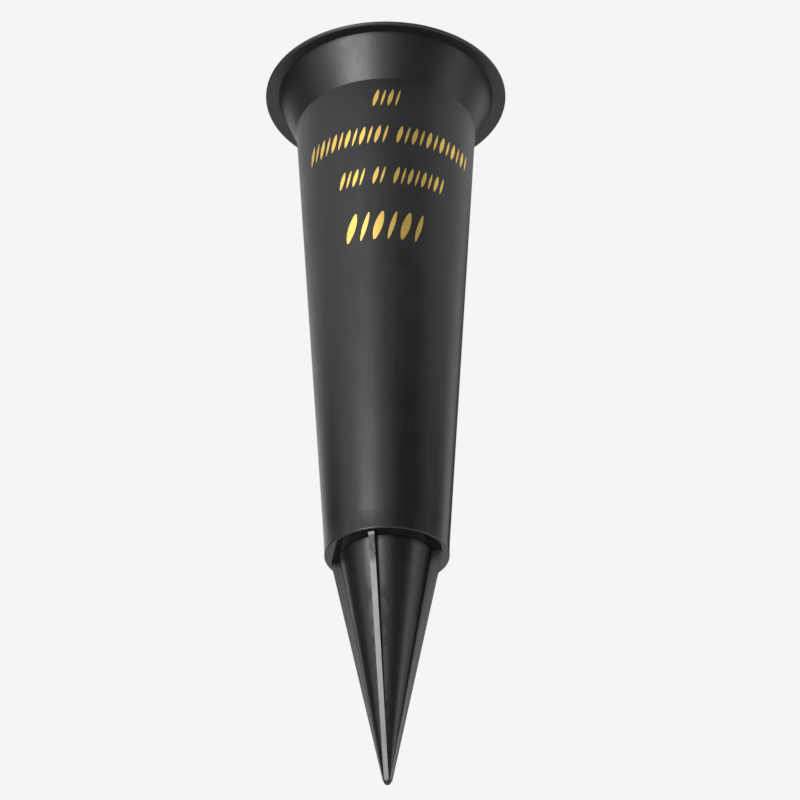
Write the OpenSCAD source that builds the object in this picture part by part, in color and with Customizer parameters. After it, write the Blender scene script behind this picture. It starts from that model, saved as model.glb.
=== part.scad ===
// Spiked grave flower vase: a tapered cup with a flared mouth, and the finned
// spike that is pushed into its underside. Millimetres, +Z up. The origin is on
// the axis at the foot's flat underside, which is where the soil's surface comes.

/* [Brim] */
// Diameter over the brim's round edge
brim_d = 85; // [71:0.5:102]
// Thickness of the flat brim
brim_t = 1.5; // [1.2:0.1:2]
// Width of the flat brim's underside, from its edge in to the flare
brim_w = 4.6; // [3.5:0.1:6]
// Rise of the brim's underside, from its edge in to the flare
brim_dish = 0.45; // [0:0.05:0.6]

/* [Cup] */
// Height of the brim's top above the foot
cup_h = 184.3; // [150:0.1:222]
// Height of the flare, from the neck up to the brim
flare_h = 15.2; // [12:0.2:20]
// Widening of the flare on each side, from the neck out to the brim
flare_w = 6.5; // [5:0.1:8]
// Diameter of the foot
foot_d = 39.9; // [33.2:0.05:48]
// Thickness of the wall
wall_t = 2; // [1.6:0.1:2.4]
// Radius of the round where the inside of the wall meets the floor
floor_fillet = 4; // [2:0.5:6]

/* [Foot] */
// Height at which the wall's lean would meet the upright foot, before they are blended
foot_band_h = 3.5; // [2.5:0.1:4.5]
// Radius of the round on the foot's edge
foot_round = 0.4; // [0.2:0.05:0.8]
// Thickness of the floor
floor_t = 2; // [1.6:0.1:3]

/* [Socket in the floor] */
// Diameter of the spike's plug
plug_d = 14; // [11.5:0.1:17]
// Depth of the socket above the foot's underside
socket_h = 12; // [9:0.5:15]
// Thickness of the socket's wall, and of the plug's
socket_t = 1.8; // [1.4:0.1:2.2]
// Clearance round the plug and above it
fit_gap = 0.3; // [0.2:0.05:0.35]
// Gap between the spike's flat top and the foot's underside
seat_gap = 0.1; // [0.05:0.05:0.3]

/* [Spike] */
// Length of the spike below the foot, to the point
spike_l = 77.6; // [64.5:0.1:93.5]
// Length of the solid point below the cone's hollow
tip_l = 18; // [15:0.5:22]
// Width of the foot's underside that shows outside the cone's top
cone_ledge = 4.9; // [4:0.1:6]
// Thickness of the cone's wall
cone_t = 1.8; // [1.4:0.1:2.2]
// Radius of the rounded point
point_r = 1.2; // [1:0.05:1.4]

/* [Fins] */
// Number of fins round the cone
fin_n = 4; // [4:1:6]
// Width of the foot's underside that shows outside the fins' tops
fin_ledge = 1.75; // [1.2:0.05:2.5]
// Distance from the axis to a fin's outer edge, at the point
fin_end_r = 1.3; // [1.2:0.02:1.6]
// Thickness of a fin at its top
fin_top_t = 1.95; // [1.7:0.05:2.5]
// Thickness of a fin at the point
fin_end_t = 1.45; // [1.2:0.05:1.6]
// Turn of the fins about the axis, in degrees
fin_turn = 15.3; // [0:0.1:45]

/* [Hidden] */
$fn = 128;
// Overlap of shapes that are fused into one solid
fuse = 0.2;
half = 1 / 2;
full_turn = 360;

cup_black = [0.09, 0.09, 0.095];
spike_black = [0.12, 0.12, 0.125];

brim_r = brim_d * half;
edge_r = brim_t * half;
brim_under_z = cup_h - brim_t;
flare_top_r = brim_r - brim_w;
neck_r = flare_top_r - flare_w;
flare_top_z = brim_under_z + brim_dish;
neck_z = flare_top_z - flare_h;
foot_r = foot_d * half;
flare_a = atan(flare_w / flare_h);
wall_a = atan((neck_r - foot_r) / (neck_z - foot_band_h));
blend_tangent = foot_band_h - foot_round;
blend_r = blend_tangent / tan(wall_a * half);
blend_top_r = foot_r + blend_tangent * sin(wall_a);
blend_top_z = foot_band_h + blend_tangent * cos(wall_a);
flare_wall_w = wall_t / cos(flare_a);
mouth_round_z = cup_h - edge_r;
mouth_round_r = flare_inner_r(mouth_round_z) + edge_r / cos(flare_a);
inner_neck_z = neck_z + (flare_wall_w - wall_t) / (tan(flare_a) - tan(wall_a));
fillet_z = floor_t + floor_fillet;
fillet_r = inner_r(fillet_z) - floor_fillet / cos(wall_a);
fillet_out_r = wall_r(fillet_z) - fuse;

plug_r = plug_d * half;
socket_in_r = plug_r + fit_gap;
boss_r = socket_in_r + socket_t;
boss_top_z = socket_h + socket_t;
bore_r = plug_r - socket_t;
plug_top_z = socket_h - fit_gap;

spike_top_z = -seat_gap;
cone_r = foot_r - cone_ledge;
point_z = point_r - spike_l;
cone_a = atan((cone_r - point_r) / (spike_top_z - point_z));
cone_wall_w = cone_t / cos(cone_a);
hollow_top_z = spike_top_z - cone_t;
hollow_end_z = tip_l - spike_l;
fin_top_r = foot_r - fin_ledge;
fin_step = full_turn / fin_n;

// Outside radius of the straight wall at height z
function wall_r(z) = foot_r + (z - foot_band_h) * tan(wall_a);

// Inside radius of the straight wall at height z
function inner_r(z) = wall_r(z) - wall_t;

// Inside radius of the flare at height z
function flare_inner_r(z) = neck_r + (z - neck_z) * tan(flare_a) - flare_wall_w;

// Outside radius of the cone at height z
function cone_out_r(z) = cone_r - (spike_top_z - z) * tan(cone_a);

// Inside radius of the cone at height z
function cone_in_r(z) = cone_out_r(z) - cone_wall_w;

// Wall, flare, brim and floor in section, with a hollow sweep from the foot to the wall
module cup_section() {
    difference() {
        polygon([
            [0, 0],
            [foot_r - foot_round, 0],
            [foot_r, foot_round],
            [blend_top_r, foot_round],
            [blend_top_r, blend_top_z],
            [neck_r, neck_z],
            [flare_top_r, flare_top_z],
            [brim_r - edge_r, brim_under_z],
            [brim_r - edge_r, cup_h],
            [mouth_round_r, cup_h],
            [mouth_round_r - edge_r * cos(flare_a), mouth_round_z + edge_r * sin(flare_a)],
            [inner_r(inner_neck_z), inner_neck_z],
            [inner_r(floor_t), floor_t],
            [0, floor_t]
        ]);
        translate([foot_r + blend_r, foot_round]) circle(r = blend_r);
    }
    translate([brim_r - edge_r, brim_under_z + edge_r]) circle(r = edge_r);
    translate([mouth_round_r, mouth_round_z]) circle(r = edge_r);
    translate([foot_r - foot_round, foot_round]) circle(r = foot_round);
}

// Round from the floor up to the wall, in section
module floor_round_section() {
    difference() {
        polygon([
            [fillet_r, floor_t - fuse],
            [wall_r(floor_t) - fuse, floor_t - fuse],
            [fillet_out_r, fillet_z - (fillet_out_r - fillet_r) * tan(wall_a)],
            [fillet_r, fillet_z]
        ]);
        translate([fillet_r, fillet_z]) circle(r = floor_fillet);
    }
}

// Closed boss that stands on the floor over the spike's plug, in section
module boss_section() {
    square([boss_r, boss_top_z]);
}

// Socket for the spike's plug, open at the foot's underside, in section
module socket_section() {
    translate([0, -fuse]) square([socket_in_r, socket_h + fuse]);
}

module vase_cup() {
    color(cup_black) rotate_extrude() difference() {
        union() {
            cup_section();
            floor_round_section();
            boss_section();
        }
        socket_section();
    }
}

// Cone with its plug, in section, before it is hollowed
module cone_section() {
    polygon([
        [0, point_z],
        [point_r, point_z],
        [cone_r, spike_top_z],
        [plug_r, spike_top_z],
        [plug_r, plug_top_z],
        [0, plug_top_z]
    ]);
}

// The inside of the cone and of its plug, in section
module hollow_section() {
    polygon([
        [0, hollow_end_z],
        [cone_in_r(hollow_end_z), hollow_end_z],
        [cone_in_r(hollow_top_z), hollow_top_z],
        [bore_r, hollow_top_z],
        [bore_r, plug_top_z + fuse],
        [0, plug_top_z + fuse]
    ]);
}

// A fin's side, from the axis out to its sloping edge, with a flat top
module fin_side() {
    polygon([
        [0, point_z],
        [fin_end_r, point_z],
        [fin_top_r, spike_top_z],
        [0, spike_top_z]
    ]);
}

// A fin's outer edge, which thins towards the point
module fin_front() {
    polygon([
        [-fin_end_t * half, point_z],
        [fin_end_t * half, point_z],
        [fin_top_t * half, spike_top_z],
        [-fin_top_t * half, spike_top_z]
    ]);
}

// One fin, along +X
module fin_blade() {
    intersection() {
        rotate([90, 0, 0]) linear_extrude(height = fin_top_t, center = true) fin_side();
        rotate([90, 0, 90]) linear_extrude(height = fin_top_r + fuse) fin_front();
    }
}

module ground_spike() {
    color(spike_black) difference() {
        union() {
            rotate_extrude() cone_section();
            for (i = [0:fin_n - 1]) {
                rotate([0, 0, i * fin_step - fin_turn]) fin_blade();
            }
            translate([0, 0, point_z]) sphere(r = point_r);
        }
        rotate_extrude() hollow_section();
    }
}

vase_cup();
ground_spike();
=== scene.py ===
"""Looks of a spiked grave flower vase: black moulded plastic with gold foil marks.

Metres, +Z up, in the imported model's own frame: the origin is on the vase's axis at
the foot's flat underside, and the marked side of the cup faces -Y.
"""

import logging
import math
from dataclasses import dataclass
from enum import Enum

import bmesh
import bpy
from mathutils import Matrix, Vector


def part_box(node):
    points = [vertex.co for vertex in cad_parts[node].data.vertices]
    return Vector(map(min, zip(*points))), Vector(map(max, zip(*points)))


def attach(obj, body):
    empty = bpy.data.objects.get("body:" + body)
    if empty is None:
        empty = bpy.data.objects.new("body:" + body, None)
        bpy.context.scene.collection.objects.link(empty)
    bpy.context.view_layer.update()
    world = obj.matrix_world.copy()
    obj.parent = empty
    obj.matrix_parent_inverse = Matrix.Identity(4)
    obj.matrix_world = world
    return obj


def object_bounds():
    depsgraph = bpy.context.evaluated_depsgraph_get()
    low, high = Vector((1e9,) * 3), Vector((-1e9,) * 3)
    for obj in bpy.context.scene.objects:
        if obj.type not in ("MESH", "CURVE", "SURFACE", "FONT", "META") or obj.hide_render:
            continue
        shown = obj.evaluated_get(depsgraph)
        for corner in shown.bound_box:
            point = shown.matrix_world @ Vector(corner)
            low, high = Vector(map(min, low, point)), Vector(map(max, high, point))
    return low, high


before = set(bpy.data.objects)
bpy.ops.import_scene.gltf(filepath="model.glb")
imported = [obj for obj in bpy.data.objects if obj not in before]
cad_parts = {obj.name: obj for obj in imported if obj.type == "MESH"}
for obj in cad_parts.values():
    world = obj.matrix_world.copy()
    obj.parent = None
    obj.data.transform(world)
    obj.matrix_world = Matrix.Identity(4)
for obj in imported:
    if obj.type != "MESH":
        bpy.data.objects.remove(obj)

CAD_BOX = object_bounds()
MM = 0.001
WHITE = (1.0, 1.0, 1.0, 1.0)
# Noise keeps mostly between these two values, so they are stretched to a full range.
NOISE_LOW, NOISE_HIGH = 0.3, 0.7
# Watts for each square metre of a lamp, at a brightness of 1.
LAMP_WATTS = 4

log = logging.getLogger("grave_vase")


def linear(colour: str) -> tuple[float, float, float, float]:
    """Turns an sRGB hex colour into linear values.

    Args:
        colour: the colour as "#rrggbb".

    Returns:
        Linear red, green and blue, with an alpha of 1.
    """
    parts = [int(colour[i : i + 2], 16) / 255 for i in (1, 3, 5)]
    red, green, blue = (c / 12.92 if c <= 0.04045 else ((c + 0.055) / 1.055) ** 2.4 for c in parts)
    return red, green, blue, 1.0


def toward(azimuth: float, elevation: float) -> Vector:
    """Gives the direction from the vase to a place in the studio.

    Args:
        azimuth: degrees round from -Y towards +X.
        elevation: degrees above the horizon.

    Returns:
        A unit vector.
    """
    a, e = math.radians(azimuth), math.radians(elevation)
    return Vector((math.sin(a) * math.cos(e), -math.cos(a) * math.cos(e), math.sin(e)))


def facing(out: Vector, place: Vector) -> Matrix:
    """Sets a lamp, a card or the camera down so that it looks back at the vase.

    Args:
        out: the direction from the vase to it.
        place: the point where it stands.

    Returns:
        Its matrix, with its own Z along the direction.
    """
    return Matrix.Translation(place) @ out.to_track_quat("Z", "Y").to_matrix().to_4x4()


def add_node(
    tree: bpy.types.NodeTree,
    kind: str,
    settings: dict[str | int, object] | None = None,
    links: dict[str | int, bpy.types.NodeSocket] | None = None,
) -> bpy.types.Node:
    """Adds one node with its settings and links.

    Args:
        tree: the node tree that takes the node.
        kind: Blender's type name for the node.
        settings: values by the name of a property, or by a socket's name or number.
        links: the output that feeds each input, by the input's name or number.

    Returns:
        The new node.
    """
    node = tree.nodes.new(kind)
    for name, value in (settings or {}).items():
        if isinstance(name, str) and hasattr(node, name):
            setattr(node, name, value)
        else:
            node.inputs[name].default_value = value
    for name, source in (links or {}).items():
        tree.links.new(source, node.inputs[name])
    return node


def new_material(name: str) -> bpy.types.Material:
    """Makes an empty material that uses nodes.

    Args:
        name: the material's name.

    Returns:
        The material, with no nodes in it.
    """
    material = bpy.data.materials.new(name)
    material.use_nodes = True
    material.node_tree.nodes.clear()
    return material


def put_in_order(bm: bmesh.types.BMesh) -> None:
    """Sorts the faces by their vertices, since solidify's order changes from run to run.

    Args:
        bm: the mesh to sort.
    """
    bm.verts.index_update()
    count = len(bm.verts)

    def rank(face: bmesh.types.BMFace) -> int:
        """Gives a face a number of its own, from its three lowest vertices."""
        low, middle, high = sorted(vert.index for vert in face.verts)[:3]
        return (low * count + middle) * count + high

    bm.faces.sort(key=rank)


def new_piece(name: str, bm: bmesh.types.BMesh) -> bpy.types.Object:
    """Turns a bmesh into an object at the origin.

    Args:
        name: the object's name.
        bm: the mesh, in its place; it is freed.

    Returns:
        The object, linked to the scene.
    """
    mesh = bpy.data.meshes.new(name)
    bm.to_mesh(mesh)
    bm.free()
    piece = bpy.data.objects.new(name, mesh)
    bpy.context.scene.collection.objects.link(piece)
    return piece


@dataclass(frozen=True)
class MouldedPolypropylene:
    """Black polypropylene, injection moulded against a fine matt tool.

    The pigment is near black, so the eye reads the surface by its soft broad
    reflections. The tool's fine grain spreads them, and polishing marks along the
    draw, handling scuffs and a little dust break them up. On the cup the brim's and
    the foot's edges are also painted lighter as an edge highlight.
    """

    name: str
    pigment: str = "#111112"
    # The lighter grey of dust specks and scuffs, also used on the cup's edges as a painted edge
    # highlight.
    dust: str = "#454547"
    ior: float = 1.49
    roughness: float = 0.42
    polished: float = 0.3
    mottle: float = 9.0 * MM
    mottle_rough: float = 0.03
    streak: float = 1.4 * MM
    streak_rough: float = 0.02
    # Height is scaled by this, so a streak is 25 times as long as it is wide.
    streak_draw: float = 0.04
    speck: float = 1.1 * MM
    speck_low: float = 0.68
    speck_high: float = 0.8
    speck_dust: float = 0.14
    # The tool's real grain is about 0.05 mm, and it is drawn coarser so that it shows.
    grain: float = 0.35 * MM
    grain_depth: float = 0.004 * MM

    def unevenness(
        self, tree: bpy.types.NodeTree, where: bpy.types.NodeSocket
    ) -> bpy.types.NodeSocket:
        """Works out how far the gloss strays, in soft mottles and in streaks along the draw.

        Args:
            tree: the material's node tree.
            where: Object coordinates.

        Returns:
            The amount to add to the roughness.
        """
        mottle = add_node(
            tree,
            "ShaderNodeTexNoise",
            {"Scale": 1 / self.mottle, "Detail": 4.0, "Roughness": 0.55},
            {"Vector": where},
        )
        along = add_node(
            tree, "ShaderNodeMapping", {"Scale": (1.0, 1.0, self.streak_draw)}, {"Vector": where}
        )
        streak = add_node(
            tree,
            "ShaderNodeTexNoise",
            {"Scale": 1 / self.streak, "Detail": 3.0},
            {"Vector": along.outputs[0]},
        )
        strays = []
        for noise, amount in ((mottle, self.mottle_rough), (streak, self.streak_rough)):
            stray = add_node(
                tree,
                "ShaderNodeMapRange",
                {
                    "From Min": NOISE_LOW,
                    "From Max": NOISE_HIGH,
                    "To Min": -amount,
                    "To Max": amount,
                },
                {"Value": noise.outputs[0]},
            )
            strays.append(stray.outputs[0])
        both = add_node(
            tree, "ShaderNodeMath", {"operation": "ADD"}, {0: strays[0], 1: strays[1]}
        )
        return both.outputs[0]

    def dustiness(
        self, tree: bpy.types.NodeTree, where: bpy.types.NodeSocket
    ) -> bpy.types.NodeSocket:
        """Scatters a few specks of dust.

        Args:
            tree: the material's node tree.
            where: Object coordinates.

        Returns:
            How much of the surface is dust, from 0 up to speck_dust.
        """
        specks = add_node(
            tree,
            "ShaderNodeTexNoise",
            {"Scale": 1 / self.speck, "Detail": 2.0, "Roughness": 0.6},
            {"Vector": where},
        )
        dusty = add_node(
            tree,
            "ShaderNodeMapRange",
            {"From Min": self.speck_low, "From Max": self.speck_high, "To Max": self.speck_dust},
            {"Value": specks.outputs[0]},
        )
        return dusty.outputs[0]

    def grained(
        self, tree: bpy.types.NodeTree, where: bpy.types.NodeSocket
    ) -> bpy.types.NodeSocket:
        """Raises the fine grain that the tool leaves.

        Args:
            tree: the material's node tree.
            where: Object coordinates.

        Returns:
            The bumped normal.
        """
        grain = add_node(
            tree,
            "ShaderNodeTexNoise",
            {"Scale": 1 / self.grain, "Detail": 2.0, "Roughness": 0.6},
            {"Vector": where},
        )
        bump = add_node(
            tree,
            "ShaderNodeBump",
            {"Strength": 1.0, "Distance": self.grain_depth},
            {"Height": grain.outputs[0]},
        )
        return bump.outputs[0]

    def make(self) -> tuple[bpy.types.Material, dict[str, bpy.types.NodeSocket]]:
        """Builds what the cup's and the spike's plastic share.

        Returns:
            The material, and the outputs that its pieces add their own marks to:
            where (Object coordinates), height, radius, uneven, dusty and normal.
        """
        material = new_material(self.name)
        tree = material.node_tree
        where = add_node(tree, "ShaderNodeTexCoord").outputs["Object"]
        split = add_node(tree, "ShaderNodeSeparateXYZ", links={0: where})
        flat = add_node(
            tree, "ShaderNodeCombineXYZ", links={0: split.outputs["X"], 1: split.outputs["Y"]}
        )
        radius = add_node(
            tree, "ShaderNodeVectorMath", {"operation": "LENGTH"}, {0: flat.outputs[0]}
        )
        return material, {
            "where": where,
            "height": split.outputs["Z"],
            "radius": radius.outputs["Value"],
            "uneven": self.unevenness(tree, where),
            "dusty": self.dustiness(tree, where),
            "normal": self.grained(tree, where),
        }

    def finish(
        self,
        material: bpy.types.Material,
        parts: dict[str, bpy.types.NodeSocket],
        polish: bpy.types.NodeSocket,
        scuff_and_highlight: bpy.types.NodeSocket,
    ) -> bpy.types.Material:
        """Joins the shared plastic and a piece's own masks in one shader.

        Args:
            material: the material that make() gave.
            parts: the outputs that make() gave.
            polish: 1 where the tool was polished, 0 where it was matt.
            scuff_and_highlight: how much of the surface turns to the lighter grey, from 0 to 1:
                handling scuffs, and on the cup's brim and foot edges also a painted edge
                highlight.

        Returns:
            The finished material.
        """
        tree = material.node_tree
        smooth = add_node(
            tree,
            "ShaderNodeMapRange",
            {"To Min": self.roughness, "To Max": self.polished},
            {"Value": polish},
        )
        rough = add_node(
            tree,
            "ShaderNodeMath",
            {"operation": "ADD"},
            {0: smooth.outputs[0], 1: parts["uneven"]},
        )
        # Dust, scuffs and, on the cup's edges, a painted edge highlight turn the pigment lighter
        # grey.
        grey = add_node(
            tree,
            "ShaderNodeMath",
            {"operation": "ADD", "use_clamp": True},
            {0: parts["dusty"], 1: scuff_and_highlight},
        )
        colour = add_node(
            tree,
            "ShaderNodeMix",
            {"data_type": "RGBA", 6: linear(self.pigment), 7: linear(self.dust)},
            {0: grey.outputs[0]},
        )
        shader = add_node(
            tree,
            "ShaderNodeBsdfPrincipled",
            {"IOR": self.ior},
            {
                "Base Color": colour.outputs[2],
                "Roughness": rough.outputs[0],
                "Normal": parts["normal"],
            },
        )
        add_node(tree, "ShaderNodeOutputMaterial", links={"Surface": shader.outputs[0]})
        return material


@dataclass(frozen=True)
class HotStampedFoil:
    """Gold hot-stamping foil, pressed on to the plastic with a heated die.

    A bright metal skin that takes the plastic's faint grain, so it glows rather
    than mirrors, and is a little darker where the die pressed lightly.
    """

    name: str = "hot_stamped_gold_foil"
    gold: str = "#f6d375"
    thin_gold: str = "#e8c066"
    roughness: float = 0.4
    thin_rough: float = 0.08
    patch: float = 2.2 * MM
    patch_low: float = 0.35
    patch_high: float = 0.6
    # Drawn coarser than the real grain, as on the plastic.
    grain: float = 0.3 * MM
    grain_depth: float = 0.004 * MM

    def make(self) -> bpy.types.Material:
        """Builds the foil's material.

        Returns:
            The finished material.
        """
        material = new_material(self.name)
        tree = material.node_tree
        where = add_node(tree, "ShaderNodeTexCoord").outputs["Object"]
        patches = add_node(
            tree,
            "ShaderNodeTexNoise",
            {"Scale": 1 / self.patch, "Detail": 3.0},
            {"Vector": where},
        )
        pressed = add_node(
            tree,
            "ShaderNodeMapRange",
            {"From Min": self.patch_low, "From Max": self.patch_high},
            {"Value": patches.outputs[0]},
        )
        colour = add_node(
            tree,
            "ShaderNodeMix",
            {"data_type": "RGBA", 6: linear(self.thin_gold), 7: linear(self.gold)},
            {0: pressed.outputs[0]},
        )
        rough = add_node(
            tree,
            "ShaderNodeMapRange",
            {"To Min": self.roughness + self.thin_rough, "To Max": self.roughness},
            {"Value": pressed.outputs[0]},
        )
        grain = add_node(
            tree, "ShaderNodeTexNoise", {"Scale": 1 / self.grain}, {"Vector": where}
        )
        bump = add_node(
            tree,
            "ShaderNodeBump",
            {"Strength": 1.0, "Distance": self.grain_depth},
            {"Height": grain.outputs[0]},
        )
        shader = add_node(
            tree,
            "ShaderNodeBsdfPrincipled",
            {"Metallic": 1.0},
            {
                "Base Color": colour.outputs[2],
                "Roughness": rough.outputs[0],
                "Normal": bump.outputs[0],
            },
        )
        add_node(tree, "ShaderNodeOutputMaterial", links={"Surface": shader.outputs[0]})
        return material


@dataclass
class VaseCup:
    """The tapered cup with its flared mouth and flat polished foot."""

    node: str = "vase_cup"
    foot_r: float = 19.95 * MM
    foot_band_h: float = 3.5 * MM
    neck_r: float = 31.4 * MM
    neck_h: float = 168.05 * MM
    wall_t: float = 2.0 * MM
    # The brim's and the foot's edges are painted lighter, partly as handling scuffs and partly as
    # a painted edge highlight.
    edge_w: float = 0.7 * MM
    edge_scuff_and_highlight: float = 0.12
    foot_edge_h: float = 1.2 * MM
    foot_scuff_and_highlight: float = 0.08
    # The underside counts as reached by the lower of these heights.
    under_high: float = 0.1 * MM
    under_low: float = 0.02 * MM
    # The inside's polish comes in between these shares of the wall's thickness.
    inside_from: float = 0.6
    inside_full: float = 0.8
    inside_polish: float = 0.4
    draw_polish: float = 0.4
    draw_h: float = 120.0 * MM

    def wall_r(self, height: float) -> float:
        """Gives the wall's outside radius at a height above the foot."""
        share = (height - self.foot_band_h) / (self.neck_h - self.foot_band_h)
        return self.foot_r + (self.neck_r - self.foot_r) * share

    def inside(
        self, tree: bpy.types.NodeTree, parts: dict[str, bpy.types.NodeSocket]
    ) -> bpy.types.NodeSocket:
        """Finds the cup's inside, by how far a point is within the outer wall.

        Args:
            tree: the material's node tree.
            parts: the outputs that the plastic's make() gave.

        Returns:
            0 on the outside, and inside_polish on the inside.
        """
        wall = add_node(
            tree,
            "ShaderNodeMapRange",
            {
                "clamp": False,
                "From Min": self.foot_band_h,
                "From Max": self.neck_h,
                "To Min": self.foot_r,
                "To Max": self.neck_r,
            },
            {"Value": parts["height"]},
        )
        inward = add_node(
            tree,
            "ShaderNodeMath",
            {"operation": "SUBTRACT"},
            {0: wall.outputs[0], 1: parts["radius"]},
        )
        mask = add_node(
            tree,
            "ShaderNodeMapRange",
            {
                "From Min": self.wall_t * self.inside_from,
                "From Max": self.wall_t * self.inside_full,
                "To Max": self.inside_polish,
            },
            {"Value": inward.outputs[0]},
        )
        return mask.outputs[0]

    def polish(
        self,
        tree: bpy.types.NodeTree,
        parts: dict[str, bpy.types.NodeSocket],
        underside: bpy.types.NodeSocket,
    ) -> bpy.types.NodeSocket:
        """Works out how polished the tool was: under the foot, low on the wall and inside.

        Args:
            tree: the material's node tree.
            parts: the outputs that the plastic's make() gave.
            underside: 1 on the foot's underside.

        Returns:
            The polish, from 0 to 1.
        """
        drawn = add_node(
            tree,
            "ShaderNodeMapRange",
            {"From Min": self.draw_h, "From Max": 0.0, "To Max": self.draw_polish},
            {"Value": parts["height"]},
        )
        outside = add_node(
            tree,
            "ShaderNodeMath",
            {"operation": "MAXIMUM"},
            {0: drawn.outputs[0], 1: underside},
        )
        both = add_node(
            tree,
            "ShaderNodeMath",
            {"operation": "MAXIMUM"},
            {0: self.inside(tree, parts), 1: outside.outputs[0]},
        )
        return both.outputs[0]

    def scuff_and_highlight(
        self,
        tree: bpy.types.NodeTree,
        parts: dict[str, bpy.types.NodeSocket],
        underside: bpy.types.NodeSocket,
    ) -> bpy.types.NodeSocket:
        """Works out how much lighter the brim's and the foot's edges are painted, partly as
        handling scuffs and partly as a painted edge highlight.

        Args:
            tree: the material's node tree.
            parts: the outputs that the plastic's make() gave.
            underside: 1 on the foot's underside, which is left out.

        Returns:
            The scuffing and painted edge highlight, from 0 to 1.
        """
        brim_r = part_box(self.node)[1].x
        brim = add_node(
            tree,
            "ShaderNodeMapRange",
            {"From Min": brim_r - self.edge_w, "From Max": brim_r, "To Max": self.edge_scuff_and_highlight},
            {"Value": parts["radius"]},
        )
        foot_edge = add_node(
            tree,
            "ShaderNodeMapRange",
            {"From Min": self.foot_edge_h, "From Max": 0.0, "To Max": self.foot_scuff_and_highlight},
            {"Value": parts["height"]},
        )
        edges = add_node(
            tree,
            "ShaderNodeMath",
            {"operation": "MAXIMUM"},
            {0: brim.outputs[0], 1: foot_edge.outputs[0]},
        )
        greyed = add_node(
            tree,
            "ShaderNodeMath",
            {"operation": "SUBTRACT", "use_clamp": True},
            {0: edges.outputs[0], 1: underside},
        )
        return greyed.outputs[0]

    def dress(self, plastic: MouldedPolypropylene) -> None:
        """Gives the cup its plastic, polished inside and under the foot, with its edges painted
        lighter as scuffs and as a painted edge highlight.

        Args:
            plastic: the cup's finish.
        """
        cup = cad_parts[self.node]
        material, parts = plastic.make()
        tree = material.node_tree
        underside = add_node(
            tree,
            "ShaderNodeMapRange",
            {"From Min": self.under_high, "From Max": self.under_low},
            {"Value": parts["height"]},
        ).outputs[0]
        polish = self.polish(tree, parts, underside)
        # Lighter edges: handling scuffs and a painted edge highlight.
        scuff_and_highlight = self.scuff_and_highlight(tree, parts, underside)
        cup.data.materials.clear()
        cup.data.materials.append(plastic.finish(material, parts, polish, scuff_and_highlight))
        log.info("%s dressed in %s", cup.name, material.name)


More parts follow.
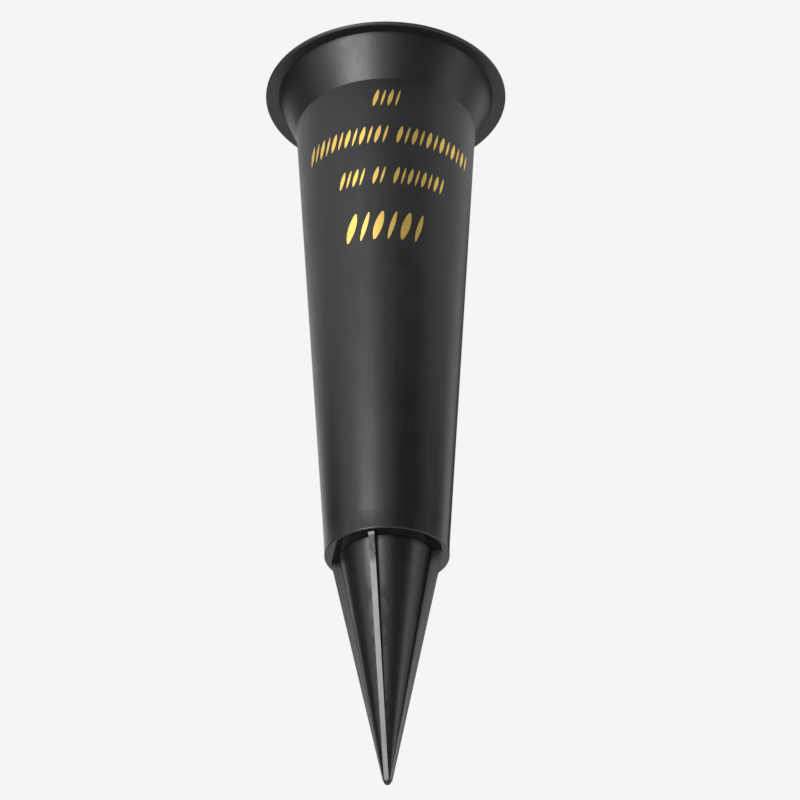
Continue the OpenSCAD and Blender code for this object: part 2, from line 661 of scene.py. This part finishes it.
@dataclass
class GroundSpike:
    """The finned spike that is pushed into the soil."""

    node: str = "ground_spike"
    fin_turn: float = 15.3
    fin_top_r: float = 18.2 * MM
    fin_top_h: float = -0.1 * MM
    fin_end_r: float = 1.3 * MM
    fin_end_h: float = -76.4 * MM
    # A fin's outer face is found between these depths behind its edge line.
    face_deep: float = -0.2 * MM
    face_full: float = -0.1 * MM
    spot: float = 0.9 * MM
    spot_scuff: float = 0.12
    scuff_low: float = 0.5
    scuff_high: float = 0.75
    drag_low: float = -10.5 * MM
    drag_low_fade: float = 3.0 * MM
    drag_high: float = -1.5 * MM
    drag_high_fade: float = 1.0 * MM
    drag_rough: float = 0.32
    drag_least: float = 0.55
    torn_low: float = 0.4
    torn_high: float = 0.6

    def fin_faces(
        self, tree: bpy.types.NodeTree, parts: dict[str, bpy.types.NodeSocket]
    ) -> bpy.types.NodeSocket:
        """Finds the fins' outer faces, by how near a point is to the fins' sloping edge.

        Args:
            tree: the material's node tree.
            parts: the outputs that the plastic's make() gave.

        Returns:
            1 on the outer faces, and 0 elsewhere.
        """
        edge = add_node(
            tree,
            "ShaderNodeMapRange",
            {
                "clamp": False,
                "From Min": self.fin_end_h,
                "From Max": self.fin_top_h,
                "To Min": self.fin_end_r,
                "To Max": self.fin_top_r,
            },
            {"Value": parts["height"]},
        )
        outward = add_node(
            tree,
            "ShaderNodeMath",
            {"operation": "SUBTRACT"},
            {0: parts["radius"], 1: edge.outputs[0]},
        )
        mask = add_node(
            tree,
            "ShaderNodeMapRange",
            {"From Min": self.face_deep, "From Max": self.face_full},
            {"Value": outward.outputs[0]},
        )
        return mask.outputs[0]

    def spots(
        self, tree: bpy.types.NodeTree, where: bpy.types.NodeSocket
    ) -> bpy.types.NodeSocket:
        """Makes the uneven spots of handling, in coordinates that turn with the fins.

        Args:
            tree: the material's node tree.
            where: Object coordinates.

        Returns:
            The noise of the spots.
        """
        turned = add_node(
            tree,
            "ShaderNodeMapping",
            {"Rotation": (0.0, 0.0, math.radians(self.fin_turn))},
            {"Vector": where},
        )
        noise = add_node(
            tree,
            "ShaderNodeTexNoise",
            {"Scale": 1 / self.spot, "Detail": 3.0, "Roughness": 0.65},
            {"Vector": turned.outputs[0]},
        )
        return noise.outputs[0]

    def drag_marks(
        self,
        tree: bpy.types.NodeTree,
        height: bpy.types.NodeSocket,
        fin_face: bpy.types.NodeSocket,
        spots: bpy.types.NodeSocket,
    ) -> bpy.types.NodeSocket:
        """Roughens the fins' outer faces high up, as a moulding tool does where it drags.

        Args:
            tree: the material's node tree.
            height: the point's height.
            fin_face: 1 on the fins' outer faces.
            spots: the noise that breaks the marks up.

        Returns:
            The amount to add to the roughness.
        """
        above_low = add_node(
            tree,
            "ShaderNodeMapRange",
            {"From Min": self.drag_low, "From Max": self.drag_low + self.drag_low_fade},
            {"Value": height},
        )
        below_high = add_node(
            tree,
            "ShaderNodeMapRange",
            {"From Min": self.drag_high + self.drag_high_fade, "From Max": self.drag_high},
            {"Value": height},
        )
        torn = add_node(
            tree,
            "ShaderNodeMapRange",
            {
                "From Min": self.torn_low,
                "From Max": self.torn_high,
                "To Min": self.drag_rough * self.drag_least,
                "To Max": self.drag_rough,
            },
            {"Value": spots},
        )
        marks = above_low.outputs[0]
        for factor in (below_high.outputs[0], fin_face, torn.outputs[0]):
            marks = add_node(
                tree, "ShaderNodeMath", {"operation": "MULTIPLY"}, {0: marks, 1: factor}
            ).outputs[0]
        return marks

    def dress(self, plastic: MouldedPolypropylene) -> None:
        """Gives the spike its plastic, with drag marks high on the fins' outer faces.

        Args:
            plastic: the spike's finish.
        """
        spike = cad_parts[self.node]
        material, parts = plastic.make()
        tree = material.node_tree
        fin_face = self.fin_faces(tree, parts)
        spots = self.spots(tree, parts["where"])
        scuffed = add_node(
            tree,
            "ShaderNodeMapRange",
            {"From Min": self.scuff_low, "From Max": self.scuff_high, "To Max": self.spot_scuff},
            {"Value": spots},
        )
        dragged = self.drag_marks(tree, parts["height"], fin_face, spots)
        parts["uneven"] = add_node(
            tree, "ShaderNodeMath", {"operation": "ADD"}, {0: parts["uneven"], 1: dragged}
        ).outputs[0]
        spike.data.materials.clear()
        spike.data.materials.append(
            plastic.finish(material, parts, fin_face, scuffed.outputs[0])
        )
        log.info("%s dressed in %s", spike.name, material.name)


class Weight(Enum):
    """How wide a foil stroke is, as a share of the step from one stroke to the next."""

    THICK = 0.62
    THIN = 0.36


@dataclass(frozen=True)
class FoilRow:
    """One row of evenly spaced slanted foil strokes, thick and thin in turn."""

    base_h: float
    height: float
    # Degrees round from -Y towards +X, where the first stroke stands.
    start: float
    step: float
    # How many strokes each group has.
    groups: tuple[int, ...]
    gap: float = 2.2 * MM


@dataclass
class FoilMarks:
    """The rows of gold foil strokes on the cup's marked side."""

    cup: VaseCup
    slant: float = 15.0
    proud: float = 0.07 * MM
    sunk: float = 0.06 * MM
    # The width at a stroke's ends, as a share of the width at its middle.
    tip: float = 0.22
    cuts_across: int = 4
    cuts_up: int = 14
    rows: tuple[FoilRow, ...] = (
        FoilRow(157.1 * MM, 6.3 * MM, -7.5, 2.5 * MM, (4,)),
        FoilRow(142.3 * MM, 6.6 * MM, -58.0, 2.65 * MM, (12, 12)),
        FoilRow(126.1 * MM, 6.4 * MM, -32.0, 2.4 * MM, (4, 2, 8)),
        FoilRow(104.5 * MM, 10.6 * MM, -27.5, 4.6 * MM, (6,)),
    )

    def stroke(self, bm: bmesh.types.BMesh, along: float, width: float, row: FoilRow) -> None:
        """Adds one slanted stroke, full in the middle and fine at its ends.

        Args:
            bm: the row's mesh.
            along: distance round the wall from the -Y line to the stroke's foot.
            width: the stroke's width at its middle.
            row: the row that it stands in.
        """
        # The grid is a unit square about its middle: width along X and height along Y.
        made = bmesh.ops.create_grid(
            bm, x_segments=self.cuts_across, y_segments=self.cuts_up, size=0.5
        )
        faces = list({face for vert in made["verts"] for face in vert.link_faces})
        slab = bmesh.ops.solidify(bm, geom=faces, thickness=1.0)
        verts = {v for f in faces for v in f.verts}
        verts |= {v for f in slab["geom"] if isinstance(f, bmesh.types.BMFace) for v in f.verts}
        lean = math.tan(math.radians(self.slant))
        levels = [v.co.z for v in verts]
        floor, ceiling = min(levels), max(levels)
        for vert in verts:
            up = (vert.co.y + 0.5) * row.height
            swell = 1 - (1 - self.tip) * (2 * vert.co.y) ** 2
            side = along + vert.co.x * width * swell + up * lean
            out = -self.sunk + (self.proud + self.sunk) * (vert.co.z - floor) / (ceiling - floor)
            ring = self.cup.wall_r(row.base_h + up)
            angle = side / ring
            vert.co = Vector(
                ((ring + out) * math.sin(angle), -(ring + out) * math.cos(angle), row.base_h + up)
            )

    def build(self, foil: HotStampedFoil) -> None:
        """Builds each row as a piece, from the top down, and dresses it in foil.

        Args:
            foil: the finish of the rows.
        """
        material = foil.make()
        for number, row in enumerate(self.rows, start=1):
            bm = bmesh.new()
            along = math.radians(row.start) * self.cup.wall_r(row.base_h)
            for count in row.groups:
                for place in range(count):
                    weight = Weight.THIN if place % 2 else Weight.THICK
                    self.stroke(bm, along, weight.value * row.step, row)
                    along += row.step
                along += row.gap
            bmesh.ops.recalc_face_normals(bm, faces=bm.faces[:])
            put_in_order(bm)
            piece = new_piece(f"foil_row_{number}", bm)
            piece.data.materials.append(material)
            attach(piece, "root")
            log.info("%s: %d faces", piece.name, len(piece.data.polygons))


@dataclass(frozen=True)
class Softbox:
    """A soft lamp that faces the vase, placed by direction and distance."""

    name: str
    azimuth: float
    elevation: float
    distance: float
    width: float
    height: float
    brightness: float

    def build(self, centre: Vector) -> None:
        """Hangs the lamp.

        Args:
            centre: the point that it faces.
        """
        lamp = bpy.data.lights.new(self.name, "AREA")
        lamp.shape = "RECTANGLE"
        lamp.size, lamp.size_y = self.width, self.height
        lamp.energy = self.brightness * LAMP_WATTS * self.width * self.height
        held = bpy.data.objects.new(self.name, lamp)
        out = toward(self.azimuth, self.elevation)
        held.matrix_world = facing(out, centre + out * self.distance)
        held.visible_camera = False
        bpy.context.scene.collection.objects.link(held)


@dataclass(frozen=True)
class ShadeCard:
    """A dark card that shows only in reflections, where satin black needs dark bands."""

    name: str
    azimuth: float
    elevation: float
    distance: float
    width: float
    height: float

    def build(self, centre: Vector, material: bpy.types.Material) -> None:
        """Stands the card up.

        Args:
            centre: the point that it faces.
            material: the card's material.
        """
        out = toward(self.azimuth, self.elevation)
        bm = bmesh.new()
        bmesh.ops.create_grid(bm, x_segments=1, y_segments=1, size=0.5)
        bmesh.ops.scale(bm, vec=(self.width, self.height, 1.0), verts=bm.verts[:])
        place = facing(out, centre + out * self.distance)
        bmesh.ops.transform(bm, matrix=place, verts=bm.verts[:])
        card = new_piece(self.name, bm)
        card.data.materials.append(material)
        card.visible_camera = False
        card.visible_diffuse = False
        card.visible_shadow = False


@dataclass
class Studio:
    """The plain pale floor and surround, the soft lamps and the camera."""

    surround: str = "#f5f5f5"
    fill: float = 0.8
    floor_colour: str = "#f2f2f1"
    floor_drop: float = 1.1
    floor_w: float = 14.0
    card_colour: str = "#0c0c0d"
    sensor_w: float = 36.0
    lens: float = 115.527
    camera_below: float = 31.438
    camera_distance: float = 0.845885
    camera_right: float = 4.43 * MM
    camera_roll: float = -0.326
    aim_above: float = 5.2 * MM
    lamps: tuple[Softbox, ...] = (
        Softbox("key_softbox", -32.0, 1.0, 1.2, 0.62, 0.55, 10.0),
        Softbox("side_softbox", 76.0, 2.0, 1.3, 0.4, 0.8, 1.2),
        Softbox("top_softbox", 20.0, 82.0, 1.8, 2.0, 2.0, 1.6),
    )
    cards: tuple[ShadeCard, ...] = (
        ShadeCard("shade_card_right", 34.0, 6.0, 1.0, 0.95, 1.7),
        ShadeCard("shade_card_side", 84.0, 20.0, 1.0, 1.1, 0.3),
        ShadeCard("shade_card_high", -22.0, 44.0, 1.0, 0.9, 0.62),
        ShadeCard("shade_card_left", -108.0, 0.0, 1.0, 1.0, 1.0),
        ShadeCard("shade_card_rear", 158.0, 14.0, 1.0, 0.5, 0.9),
    )

    def build_surround(self) -> None:
        """Makes the world: pale to the eye and in reflections, with a plain white fill light."""
        world = bpy.data.worlds.new("pale_surround")
        bpy.context.scene.world = world
        world.use_nodes = True
        tree = world.node_tree
        tree.nodes.clear()
        path = add_node(tree, "ShaderNodeLightPath").outputs
        mirrored = add_node(
            tree,
            "ShaderNodeMath",
            {"operation": "MAXIMUM"},
            {0: path["Is Glossy Ray"], 1: path["Is Transmission Ray"]},
        )
        shown = add_node(
            tree,
            "ShaderNodeMath",
            {"operation": "MAXIMUM"},
            {0: path["Is Camera Ray"], 1: mirrored.outputs[0]},
        )
        light = add_node(
            tree,
            "ShaderNodeBackground",
            {"Color": WHITE, "Strength": self.fill},
        )
        pale = add_node(
            tree, "ShaderNodeBackground", {"Color": linear(self.surround), "Strength": 1.0}
        )
        mixed = add_node(
            tree,
            "ShaderNodeMixShader",
            links={0: shown.outputs[0], 1: light.outputs[0], 2: pale.outputs[0]},
        )
        add_node(tree, "ShaderNodeOutputWorld", links={"Surface": mixed.outputs[0]})

    def plain_paint(self, name: str, colour: str) -> bpy.types.Material:
        """Makes a plain matt paint for the floor or a card.

        Args:
            name: the material's name.
            colour: the paint's sRGB hex colour.

        Returns:
            The material.
        """
        material = new_material(name)
        shader = add_node(
            material.node_tree,
            "ShaderNodeBsdfDiffuse",
            {"Color": linear(colour)},
        )
        add_node(
            material.node_tree, "ShaderNodeOutputMaterial", links={"Surface": shader.outputs[0]}
        )
        return material

    def build_floor(self) -> None:
        """Lays the floor, well below the low camera."""
        bm = bmesh.new()
        bmesh.ops.create_grid(bm, x_segments=1, y_segments=1, size=self.floor_w / 2)
        drop = Vector((0.0, 0.0, CAD_BOX[0].z - self.floor_drop))
        bmesh.ops.translate(bm, vec=drop, verts=bm.verts[:])
        floor = new_piece("studio_floor", bm)
        floor.data.materials.append(self.plain_paint("pale_floor_paint", self.floor_colour))

    def build_camera(self, centre: Vector) -> None:
        """Places the camera low in front of the vase, looking up at it.

        Args:
            centre: the middle of the vase's box.
        """
        camera = bpy.data.cameras.new("camera")
        camera.sensor_width = self.sensor_w
        camera.lens = self.lens
        held = bpy.data.objects.new("camera", camera)
        bpy.context.scene.collection.objects.link(held)
        back = toward(0.0, -self.camera_below)
        aim = centre + Vector((self.camera_right, 0.0, self.aim_above))
        roll = Matrix.Rotation(math.radians(self.camera_roll), 4, "Z")
        held.matrix_world = facing(back, aim + back * self.camera_distance) @ roll
        bpy.context.scene.camera = held

    def build(self) -> None:
        """Sets up the whole studio."""
        bpy.context.scene.view_settings.view_transform = "Standard"
        centre = (CAD_BOX[0] + CAD_BOX[1]) / 2
        self.build_camera(centre)
        self.build_surround()
        self.build_floor()
        for lamp in self.lamps:
            lamp.build(centre)
        card_paint = self.plain_paint("dark_card", self.card_colour)
        for card in self.cards:
            card.build(centre, card_paint)
        log.info("studio: %d lamps, %d cards", len(self.lamps), len(self.cards))


def main() -> None:
    """Builds and dresses the vase, then sets up the studio."""
    logging.basicConfig(level=logging.INFO, format="%(name)s: %(message)s")
    cup = VaseCup()
    cup.dress(MouldedPolypropylene("cup_polypropylene", polished=0.1))
    GroundSpike().dress(MouldedPolypropylene("spike_polypropylene", roughness=0.34))
    FoilMarks(cup).build(HotStampedFoil())
    Studio().build()


if __name__ == "__main__":
    main()
